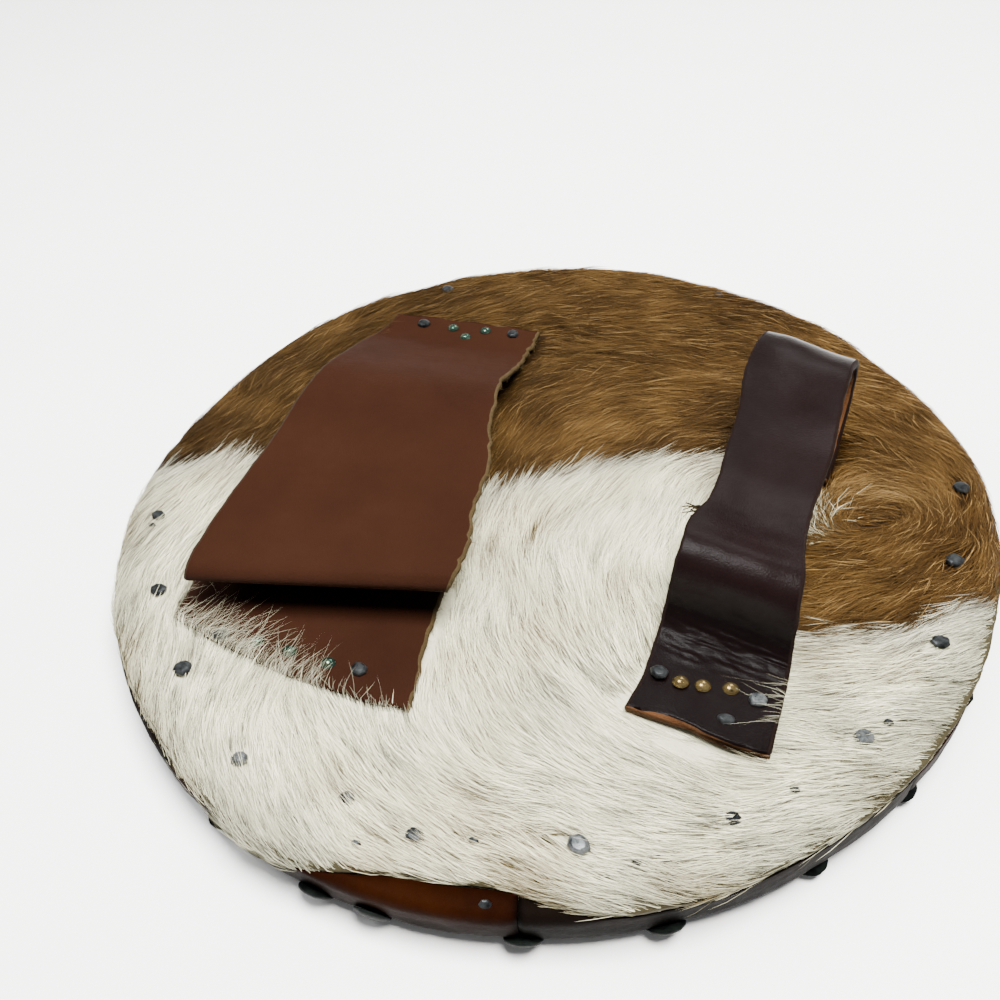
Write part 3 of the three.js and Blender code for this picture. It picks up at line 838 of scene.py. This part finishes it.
def meet_leather(paths, length, rng):
    """Ends strands at the leather they run into, or lets some climb over it. Returns which to keep."""
    points = paths.shape[1]
    fine = np.linspace(0, points - 1, 4 * (points - 1) + 1)
    dense = between(paths, fine)
    strap = over_flat_leather(dense[..., 0], dense[..., 1])
    keep = strap[:, 0] == 0
    first = np.argmax(strap > 0, axis=1)
    for row in np.flatnonzero(keep & (strap > 0).any(axis=1)):
        which = strap[row, first[row]]
        cross = fine[first[row]] / (points - 1)
        chance, reach, thickness = CLIMB[which]
        west = which != 1 or paths[row, 0, 0] < -85 or rng.random() < 0.08
        climbs = rng.random() < chance and west
        over = min(1.0 - cross, rng.exponential(reach) / length[row]) if climbs else -0.02
        share = np.linspace(0, max(cross + over, 0.12), points)
        path = between(paths[row], share * (points - 1))
        if climbs:
            top = HIDE_TOP + GAP + thickness + 0.4 + 2.5 * rng.random()
            rise = np.clip(share / max(cross, 0.05), 0, 1) ** 1.3
            path[:, 2] = np.maximum(path[:, 2], path[0, 2] + (top - path[0, 2]) * rise)
        else:
            path[:, 2] = np.minimum(path[:, 2], SKIN_TOP + (5.5 if which == 1 else 1.6))
        paths[row] = path
    return keep


def sunk(cover):
    """How far a nail is buried in the hair, from 0 to 1 mm."""
    return smooth_step(0.5, 0.9, cover)


def over_nails(paths, rng):
    """Whether strands root on a nail or lie over one that shows. All are lifted over buried ones."""
    found = np.zeros(len(paths), bool)
    for spot, cover in NAIL_SPOTS:
        away = np.hypot(paths[..., 0] - spot[0], paths[..., 1] - spot[1])
        paths[..., 2] += 1.1 * sunk(cover) * hump(away, 0, 9.0)
        middle = np.minimum((away[:, 1:] + away[:, :-1]).min(axis=1) / 2, away.min(axis=1))
        found |= away[:, 0] < 3.2 * (1.0 - cover)
        found |= (middle < 4.3) & (rng.random(len(paths)) > cover)
    return found


OUTER_RING = 26.0  # how wide the ring is where the hair bends over the edge
COAT_LAYERS = (  # name, parts, strands in a part, length, lift, points, width, zone
    ("coat_under", 2, 38000, 15.0, 2.0, 3, 0.5, "all"),
    ("coat_over", 3, 43000, 24.0, 4.4, 3, 0.21, "middle"),
    ("coat_outer", 1, 29000, 22.0, 3.6, 4, 0.21, "outer"),
    ("coat_rim", 1, 17000, 12.0, 1.5, 4, 0.25, "rim"),
)


def coat_paths(count, length, lift, points, zone, rng):
    """Strands over one zone of the hide that stop at leather and leave nails showing."""
    angle = rng.random(count) * 2 * np.pi
    edge = hide_radius(angle) + overhang(angle)
    ring = RADIUS - OUTER_RING
    inner, outer = {
        "all": (0.0, edge), "middle": (0.0, ring), "outer": (ring, edge),
        "rim": (hide_radius(angle) - 8.0, edge),
    }[zone]  # fmt: skip
    distance = np.sqrt(inner**2 + (outer**2 - inner**2) * rng.random(count))
    x, y = distance * np.cos(angle), distance * np.sin(angle)
    lengths = length * (0.7 + 0.6 * rng.random(count))
    raised = 0.6 * rng.random(count) + 0.4 * streak_tone(x, y)
    lifts = lift * (0.15 + 1.25 * raised) * (0.5 + lattice_noise(x, y, 16.0, 71))
    low = np.exp(-(((x - 111) / 36.0) ** 4) - ((y + 137 + 0.14 * (x - 110)) / 13.0) ** 4)
    lifts = lifts * (1 - 0.75 * low)
    paths = grow(x, y, SKIN_TOP - 0.4 - 0.5 * low, lengths, lifts, points, rng)
    keep = meet_leather(paths, lengths, rng) & ~over_nails(paths, rng)
    end_x, end_y = paths[:, -1, 0], paths[:, -1, 1]
    keep &= np.hypot(end_x, end_y) - hide_radius(np.arctan2(end_y, end_x)) < 1.4 * overhang(angle) + 2.6
    root, tip = coat_colour(x[keep], y[keep], rng)
    return wrap(paths[keep]), root, tip


def add_coat():
    for order, (name, parts, count, length, lift, points, width, zone) in enumerate(COAT_LAYERS):
        for part in range(parts):
            rng = np.random.default_rng(SEED + 10 * order + part)
            paths, root, tip = coat_paths(count, length, lift, points, zone, rng)
            widths = width * (0.55 + 0.9 * rng.random(len(paths)))
            add_strands(f"{name}_{part + 1}", paths, widths, root, tip, rng)


# Hairs that lie over strap edges. A row has x0, y0, x1 and y1 of the edge, and the hairs' count,
# heading, length, lift, spread and clearance.
STRAY_EDGES = (
    (-165, -92, -161, -132, 55, 22, 22, 4, 15, 6.0),
    (-161, -132, -112, -144, 270, 44, 27, 5, 17, 6.0),
    (-112, -144, -68, -152, 165, 66, 20, 4, 22, 6.0),
    (-68, -152, -24, -156, 34, 105, 15, 3, 26, 6.0),
    (146, -98, 144, -122, 34, 186, 24, 1.5, 10, 7.4),
)


def add_stray_hairs():
    """Long fine hairs that lie over the near ends of both straps."""
    rng = np.random.default_rng(SEED + 90)
    rows = []
    for x0, y0, x1, y1, count, heading, length, lift, spread, clearance in STRAY_EDGES:
        along = rng.random(count)
        gap = 1.0 + 5.5 * rng.random(count) ** 0.8
        turn = np.radians(heading + rng.normal(0, spread, count))
        edge_x, edge_y = x0 + (x1 - x0) * along, y0 + (y1 - y0) * along
        turn = turn + 0.5 * waver(edge_x, edge_y, 6.0, 37)
        x, y = edge_x - np.cos(turn) * gap, edge_y - np.sin(turn) * gap
        size = length * np.clip(0.3 + 0.4 * rng.exponential(1.0, count), 0.3, 1.4)
        top = lift * (0.3 + 0.8 * rng.random(count))
        rows.append(np.column_stack([x, y, size, turn, top, gap, np.full(count, clearance)]))
    x, y, size, turn, top, gap, clearance = np.vstack(rows).T[..., None]
    share = np.linspace(0, 1, 7)
    heading = turn + rng.normal(0.0, 0.2, len(x))[:, None] * share
    z = SKIN_TOP + 0.4 + clearance * np.clip(size * share / gap, 0, 1) ** 0.7 + top * share
    x, y = x + np.cos(heading) * size * share, y + np.sin(heading) * size * share
    paths = np.stack([x, y, z], axis=-1)
    tip = WHITE * (0.28 + 0.45 * rng.random((len(x), 1)))
    # The roots are darker: painted shade down in the coat.
    add_strands("stray_hairs", paths, 0.068 * (0.7 + 0.7 * rng.random(len(x))), tip * 0.6, tip, rng)


# --- nails and studs ---


def turned_head(profile, sides, squash=1.0, turn=0.0, wobble=0.0, seed=0):
    """A closed head turned from pairs of distance and height, from the seat to the axis."""
    angle = np.linspace(0, 2 * np.pi, sides, endpoint=False) + turn
    rim = 1.0 + wobble * (np.random.default_rng(seed).random(sides) - 0.5)
    rings = []
    for wide, high in profile[:-1]:
        x, y = wide * rim * np.cos(angle), wide * rim * squash * np.sin(angle)
        rings.append(np.column_stack([x, y, np.full(sides, high)]))
    side = np.arange(sides)
    nxt = (side + 1) % sides
    faces = [(0 * side, 1 + nxt, 1 + side)]
    for low in range(1, 1 + (len(rings) - 1) * sides, sides):
        high = low + sides
        faces += [(low + side, low + nxt, high + nxt), (low + side, high + nxt, high + side)]
    last = 1 + (len(rings) - 1) * sides
    faces.append((last + side, last + nxt, 0 * side + last + sides))
    vertices = np.vstack([(0.0, 0.0, 0.0), *rings, (0.0, 0.0, profile[-1][1])])
    return vertices, np.vstack([np.column_stack(corners) for corners in faces])


def dome_profile(radius, height, steps, lip=0.0):
    """A dome, over a rim that widens by lip."""
    points = [(radius, 0.0), (radius + lip, 0.12 * height)] if lip else [(radius, 0.0)]
    for a in np.linspace(0, np.pi / 2, steps)[:-1]:
        points.append((radius * math.cos(a), 0.14 * height + 0.86 * height * math.sin(a)))
    return [*points, (0.0, height)]


def facet_profile(radius, height):
    steps = (1.0, 0.0), (1.02, 0.42), (0.9, 0.78), (0.62, 1.0), (0.0, 1.03)
    return [(radius * wide, height * high) for wide, high in steps]


HEAD_HEIGHT = 2.4
WORN_NAILS = ("back_nail_06", "back_nail_09", "back_nail_11", "hand_nail_2")


def add_nails():
    """Iron heads, beaten into facets, in place of their solids."""
    for index, node in enumerate(sorted(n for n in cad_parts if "_nail_" in n)):
        low, high = box_mm(node)
        radius = max(high[0] - low[0], high[1] - low[1]) / 2
        cover = NAIL_COVER[int(node[-2:])] if node.startswith("back_nail") else 0.0
        seat = high[2] - HEAD_HEIGHT * 1.05 - sunk(cover)
        seed = 100 + index
        rng = np.random.default_rng(seed)
        profile = facet_profile(radius, HEAD_HEIGHT)
        squash = 0.62 if node == "hand_nail_3" else 0.88
        vertices, faces = turned_head(profile, 7 + index % 3, squash, rng.random() * 6.0, 0.22, seed)
        top = vertices[:, 2] > HEAD_HEIGHT * 0.3
        lean = 0.05 * vertices[top, 0] * (rng.random() - 0.5) * 2 + 0.05 * vertices[top, 1]
        vertices[top, 2] += lean
        vertices += [*middle_mm(node)[:2], seat]
        material = WORN_IRON if node in WORN_NAILS else DARK_IRON
        piece = add_piece(f"{node}_head", vertices, faces, [material], smooth=False)
        bevel = piece.modifiers.new("worn edges", "BEVEL")
        bevel.width, bevel.segments = 0.3 * MM, 2
        bevel.limit_method, bevel.angle_limit = "ANGLE", math.radians(20)
        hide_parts(node)


# Domed brass nails, dull gold on the hand strap and green with verdigris on the arm strap: (x, y).
BRASS_NAILS = (
    ("arm_brass", GREEN_BRASS, ARM_THICKNESS,
     [(-69, -139.5), (-91, -137.5), (-110, -136), (-101.8, 141.1), (-90.1, 132.6), (-78.8, 142)]),
    ("hand_brass", BRASS, HAND_THICKNESS, [(98.7, -109.7), (108.9, -109.4), (121.4, -107.9)]),
)  # fmt: skip


def add_brass():
    profile = dome_profile(3.6, 2.3, 7, 0.25)
    for name, material, thickness, places in BRASS_NAILS:
        for index, (x, y) in enumerate(places):
            vertices, faces = turned_head(profile, 28, 0.92, index, 0.04, 200 + index)
            seat = HIDE_TOP + GAP + thickness + 0.05
            add_piece(f"{name}_{index + 1}", vertices + [x, y, seat], faces, [material])


def flat_turn(degrees):
    """The cosine and sine of an angle about the hub."""
    return math.cos(math.radians(degrees)), math.sin(math.radians(degrees))


# Small bent-over nail ends that show through the hair: (distance from the hub, degrees).
TACK_ENDS = ((224, 199), (222, -95), (209, -82), (221, -64), (215, -44), (218, -29))


def add_tack_ends():
    for index, (distance, degrees) in enumerate(TACK_ENDS):
        cosine, sine = flat_turn(degrees)
        vertices, faces = turned_head(facet_profile(2.4, 1.6), 6, 0.6, index, 0.3, 300 + index)
        vertices = vertices + [distance * cosine, distance * sine, HIDE_TOP + 0.9]
        add_piece(f"tack_end_{index + 1}", vertices, faces, [DARK_IRON], smooth=False)


def add_threads():
    """Dark waxed thread ends at the hand strap's left edge."""
    rng = np.random.default_rng(SEED + 70)
    vertices, faces = [], []
    rings = sides = 6
    for index in range(13):
        x, y = 94.5 + 1.5 * rng.random(), -25 + 10 * rng.random()
        start = np.array([x, y, HIDE_TOP + 26 + 5 * rng.random()])
        turn = math.radians(120 + 110 * rng.random())
        length = 7 + 7 * rng.random()
        base = len(vertices)
        for ring in range(rings):
            share = ring / (rings - 1)
            bent, reach = turn + 0.4 * share, length * share
            rise = 2.0 * math.sin(3 * share + index)
            point = start + [math.cos(bent) * reach, math.sin(bent) * reach, rise]
            for a in np.arange(sides) / sides * 2 * math.pi:
                around = np.array([0.3 * math.sin(a), math.cos(a), math.sin(a)])
                vertices.append(point + around * 0.5 * (1 - 0.35 * share))
        faces += halves(tube_faces(rings, sides) + base)
        cap = np.array([(0, k, k + 1) for k in range(1, sides - 1)]) + base
        faces += [cap[:, ::-1], cap + (rings - 1) * sides]
    add_piece("thread_ends", np.array(vertices), np.vstack(faces), [THREAD])


def add_rim_nail():
    """A small nail that leans outward on the tan panel's lip."""
    cosine, sine = flat_turn(-79.9)
    vertices, faces = turned_head(facet_profile(2.8, 1.3), 7, 0.9, 0.4, 0.2, 350)
    flat, across, lean = np.array([cosine, sine, 0.0]), np.array([-sine, cosine, 0.0]), math.radians(30)
    out = flat * math.sin(lean) + [0, 0, math.cos(lean)]
    spot = flat * (RADIUS - 6.5) + [0, 0, PANEL_TOP + 1.2]
    placed = spot + vertices @ np.array([across, np.cross(out, across), out])
    add_piece("rim_nail", placed, faces, [DARK_IRON], smooth=False)


# The studs that show: (degrees about the hub, tilt from straight down). The rest are even and hidden.
OPEN_STUDS = ((-98.8, 42), (-92, 56), (-76.3, 38), (-62, 30), (-45, 8), (-31, 8))
EVEN_STUDS, EVEN_TILT = 18, 5
STUD_RADIUS, STUD_DOME = 8.5, 3.0
STUD_LEAN = 14  # how much further the steep ones lean than their solids


def stud_places():
    last = OPEN_STUDS[-1][0]
    step = (OPEN_STUDS[0][0] + 360 - last) / (EVEN_STUDS + 1)
    return list(OPEN_STUDS) + [(last + (index + 1) * step, EVEN_TILT) for index in range(EVEN_STUDS)]


def add_studs():
    profile, side = dome_profile(STUD_RADIUS, STUD_DOME, 9), np.array([0.0, 1.0, 0.0])
    for index, (degrees, tilt) in enumerate(stud_places()):
        lean = math.radians(tilt + (STUD_LEAN if tilt > 20 else 0))
        vertices, faces = turned_head(profile, 36, 1.0, index, 0.05, 400 + index)
        vertices[:, 2] *= 1.0 + 0.05 * waver(vertices[:, 0] + 40 * index, vertices[:, 1], 3.0, 63)
        axis = np.array([math.sin(lean), 0.0, -math.cos(lean)])
        local = vertices @ np.array([np.cross(axis, side), side, axis])
        local += [RADIUS - EDGE_ROUNDING, 0, FACE_Z + EDGE_ROUNDING] + axis * (EDGE_ROUNDING - 0.5)
        cosine, sine = flat_turn(degrees)
        x, y = local[:, 0] * cosine - local[:, 1] * sine, local[:, 0] * sine + local[:, 1] * cosine
        placed = np.column_stack([x, y, local[:, 2]])
        piece = add_piece(f"stud_{index + 1:02d}", placed, faces, [STUD_IRON])
        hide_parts(f"face_stud_{index + 1:02d}")


# --- the face and its edge ---

PANEL_COUNT, FIRST_SEAM = 8, -76.6
PANEL_COLUMNS = 66
SEAM_GAP = 0.3  # left on each side of a seam
LIP_ROUNDING = 5.0  # of the leather turned in over the top
LIP_DROP = 3.2  # how far below the panel's top that begins
CORNER = RADIUS - EDGE_ROUNDING


def panel_profile():
    """A panel's section, from the outer line to the inner, and the rows where lip and inner begin."""
    arc, low = np.linspace(0, np.pi / 2, 12), FACE_Z + EDGE_ROUNDING
    wall, inner_rounding = RADIUS - FACE_LEATHER, EDGE_ROUNDING - FACE_LEATHER
    outer = [(d, FACE_Z) for d in np.linspace(2.0, CORNER - 1, 12)]
    for a in arc:
        rise = FACE_Z + EDGE_ROUNDING * (1 - math.cos(a))
        outer.append((CORNER + EDGE_ROUNDING * math.sin(a), rise))
    outer += [(RADIUS, z) for z in np.linspace(low, PANEL_TOP - LIP_DROP, 8)[1:]]
    for a in np.linspace(0, np.pi / 2, 8)[1:]:
        rise = PANEL_TOP - LIP_DROP + LIP_ROUNDING * math.sin(a)
        outer.append((RADIUS - LIP_ROUNDING * (1 - math.cos(a)), rise))
    lip = len(outer)
    outer += [(RADIUS - 6.0, PANEL_TOP + 1.7), (RADIUS - 6.4, PANEL_TOP + 1.0)]
    inner = [(wall - 0.8, PANEL_TOP + 0.15), (wall + 0.1, PANEL_TOP + 0.1)]
    inner += [(wall, PANEL_TOP - 0.5), (wall, low)]
    for a in arc[::-3]:
        inner.append((CORNER + inner_rounding * math.sin(a), low - inner_rounding * math.cos(a)))
    inner += [(CORNER - 1, FACE_Z + FACE_LEATHER), (2.0, FACE_Z + FACE_LEATHER)]
    return np.array(outer + inner), lip, len(outer)


def panel_column(profile, lip, inner, a, to_seam):
    """Distances, heights and darkness of the section at angle a, turned in and drawn in by studs."""
    distance, z = profile.T.copy()
    row = np.arange(len(profile))
    lipped, outside = (row >= lip - 7) & (row < inner + 1), row < lip
    room = np.clip(RADIUS - hide_radius(a) - 0.6, 0.0, 14.0)
    turn_in = min(1.0, room / 5.0)
    z[lipped] = PANEL_TOP - 0.8 + (z[lipped] - PANEL_TOP + 0.8) * turn_in + 0.8 * (1 - turn_in)
    inward = np.where(distance[lipped] < RADIUS - 5.5, room, 0.0)
    distance[lipped] = RADIUS - (RADIUS - distance[lipped]) * turn_in - np.clip(inward - 6.4, 0.0, None)

    near_wall = smooth_step(CORNER - 10, CORNER + 4, distance)
    over = z * 3 + distance
    soft = 0.7 * waver(a * RADIUS, over, 24.0, 81) + 0.35 * waver(a * RADIUS, over, 7.0, 82)
    soft += -0.8 * hump(to_seam, 0, 1.4)
    dark = [0.85 * hump(to_seam, 0, 2.2) + 0 * z]
    # Painted shade: darker down the wall towards the face, which is turned away from the lamps.
    dark.append(0.72 * smooth_step(PANEL_TOP - 1, FACE_Z + 4, z) * near_wall)
    # Painted shadow, with some dark fuzz, on the inner top of the lip under the overhanging hair.
    high = smooth_step(PANEL_TOP + 1, PANEL_TOP + 2, z)
    dark.append(0.35 * high * smooth_step(RADIUS - 6, RADIUS - 10, distance))
    for degrees, tilt in stud_places():
        away = ((a - math.radians(degrees) + np.pi) % (2 * np.pi) - np.pi) * RADIUS
        soft = soft - 0.55 * hump(away, 0, 11.0) * smooth_step(FACE_Z + 19, FACE_Z + 7, z)
        centre_z = FACE_Z + EDGE_ROUNDING * (1 - math.cos(math.radians(tilt + STUD_LEAN)))
        spot = np.exp(-((away**2 + (z - centre_z) ** 2) / 10.5**2) ** 1.5)
        dark.append(0.9 * spot * near_wall)
    distance = distance + np.where(outside, soft * near_wall, 0.0)
    return distance, z + np.where(outside, -soft * (1 - near_wall) * 0.15, 0.0), np.max(dark, axis=0)


def panel_cap(profile, inner):
    """Triangles that zip the outer line to the inner one across a cut end."""
    i, j, cap = 0, len(profile) - 1, []
    while i < j - 1:
        outer_step = np.hypot(*(profile[i + 1] - profile[j]))
        inner_step = np.hypot(*(profile[i] - profile[j - 1]))
        if (i + 1 < inner and outer_step <= inner_step) or j - 1 < inner:
            cap.append((i, i + 1, j))
            i += 1
        else:
            cap.append((i, j - 1, j))
            j -= 1
    return np.array(cap)


def add_face_panels():
    """Leather sectors, in tan and dark in turn."""
    profile, lip, inner = panel_profile()
    rows, span = len(profile), 360 / PANEL_COUNT
    spread = np.sin(np.linspace(-np.pi / 2, np.pi / 2, PANEL_COLUMNS)) * 0.5 + 0.5
    quads = tube_faces(PANEL_COLUMNS, rows)
    cap = panel_cap(profile, inner)
    far_cap = cap[:, ::-1] + (PANEL_COLUMNS - 1) * rows
    faces = np.vstack([quads[:, [0, 2, 1]], quads[:, [0, 3, 2]], cap, far_cap])
    along = np.zeros((PANEL_COLUMNS, 1))
    along[0], along[-1] = SEAM_GAP, -SEAM_GAP
    for index in range(PANEL_COUNT):
        start, end = FIRST_SEAM - (index + 1) * span, FIRST_SEAM - index * span
        angle = np.radians(start + (end - start) * spread)
        to_seam = np.minimum(angle - angle[0], angle[-1] - angle) * RADIUS
        columns = [panel_column(profile, lip, inner, a, gap) for a, gap in zip(angle, to_seam)]
        distance, z, dark = np.array(columns).transpose(1, 0, 2)
        cosine, sine = np.cos(angle)[:, None], np.sin(angle)[:, None]
        x, y = distance * cosine - along * sine, distance * sine + along * cosine
        points = np.stack([x, y, z], axis=-1).reshape(-1, 3)
        tint = np.repeat(dark.reshape(-1, 1), 3, axis=1)
        colour, material = (("dark", DARK_LEATHER), ("tan", TAN_LEATHER))[index % 2 == 0]
        name, slot = f"{colour}_panel_{index + 1}", f"{colour}_leather"
        piece = add_piece(name, points, faces, [material], tint=tint)
        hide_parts(f"face_panel_{index + 1}")


# --- camera, light and floor ---

CAMERA_PLACE = np.array([0.12941, -0.38371, 0.42770])  # metres
CAMERA_TURN = (22.0, 44.37, -6.57)  # azimuth, elevation and roll, in degrees
LIGHTS = (  # name, place, aimed at, size in metres, watts, colour, seen in gloss
    ("key", (0.55, 0.1, 2.2), (0, 0, 0), 1.3, 330.0, (1.0, 0.985, 0.95), False),
    ("side", (-1.9, 0.2, 1.6), (0, 0.05, 0), 1.2, 50.0, (1.0, 1.0, 1.0), False),
    ("sheen", (0.1, 1.9, 1.7), (0, 0, 0), 0.6, 8.0, (1.0, 1.0, 1.0), True),
    ("glint", (-0.35, 0.15, 1.6), (0, 0, 0), 0.5, 20.0, (1.0, 1.0, 1.0), True),
)
SKY_STRENGTH = 0.3
FLOOR_REACH = 12.0  # metres each way


def add_object(name, data):
    thing = bpy.data.objects.new(name, data)
    bpy.context.scene.collection.objects.link(thing)
    return thing


def add_camera():
    azimuth, elevation, roll = (math.radians(degrees) for degrees in CAMERA_TURN)
    right = np.array([math.cos(azimuth), math.sin(azimuth), 0.0])
    level = math.cos(elevation)
    back = np.array([math.sin(azimuth) * level, -math.cos(azimuth) * level, math.sin(elevation)])
    up = np.cross(back, right)
    cosine, sine = math.cos(roll), math.sin(roll)
    right, up = cosine * right + sine * up, cosine * up - sine * right
    data = bpy.data.cameras.new("camera")
    data.lens, data.sensor_width, data.clip_start = 36.0, 36.0, 0.01
    camera = add_object("camera", data)
    matrix = np.eye(4)
    matrix[:3] = np.column_stack([right, up, back, CAMERA_PLACE])
    camera.matrix_world = Matrix(matrix.tolist())
    bpy.context.scene.camera = camera


def add_lights():
    for name, place, aim, size, power, colour, gloss in LIGHTS:
        data = bpy.data.lights.new(name, "AREA")
        data.shape, data.size, data.energy, data.color = "DISK", size, power, colour
        light = add_object(name, data)
        light.location = place
        light.visible_glossy = gloss
        light.rotation_euler = (Vector(aim) - Vector(place)).to_track_quat("-Z", "Y").to_euler()


def add_stage():
    mesh = bpy.data.meshes.new("floor")
    corners = [(x * FLOOR_REACH, y * FLOOR_REACH, 0) for x, y in ((-1, -1), (1, -1), (1, 1), (-1, 1))]
    mesh.from_pydata(corners, [], [(0, 1, 2, 3)])
    mesh.materials.append(floor_material())
    floor = add_object("floor", mesh)
    world = bpy.data.worlds.new("studio")
    world.use_nodes = True
    sky = world.node_tree.nodes["Background"].inputs
    sky["Color"].default_value = (1.0, 1.0, 1.0, 1.0)
    sky["Strength"].default_value = SKY_STRENGTH
    bpy.context.scene.world = world


def dress_board():
    """Dark old wood, painted near black for the shade under the hide's edge; seen only where the hide is
    drawn in.
    """
    board = bpy.data.objects["wooden_board"].data
    board.materials.clear()
    board.materials.append(wood_material())


dress_board()
add_camera()
add_stage()
add_lights()
add_straps()
add_edge_fuzz()
add_hide_skin()
add_coat()
add_stray_hairs()
add_nails()
add_brass()
add_tack_ends()
add_threads()
add_rim_nail()
add_studs()
add_face_panels()
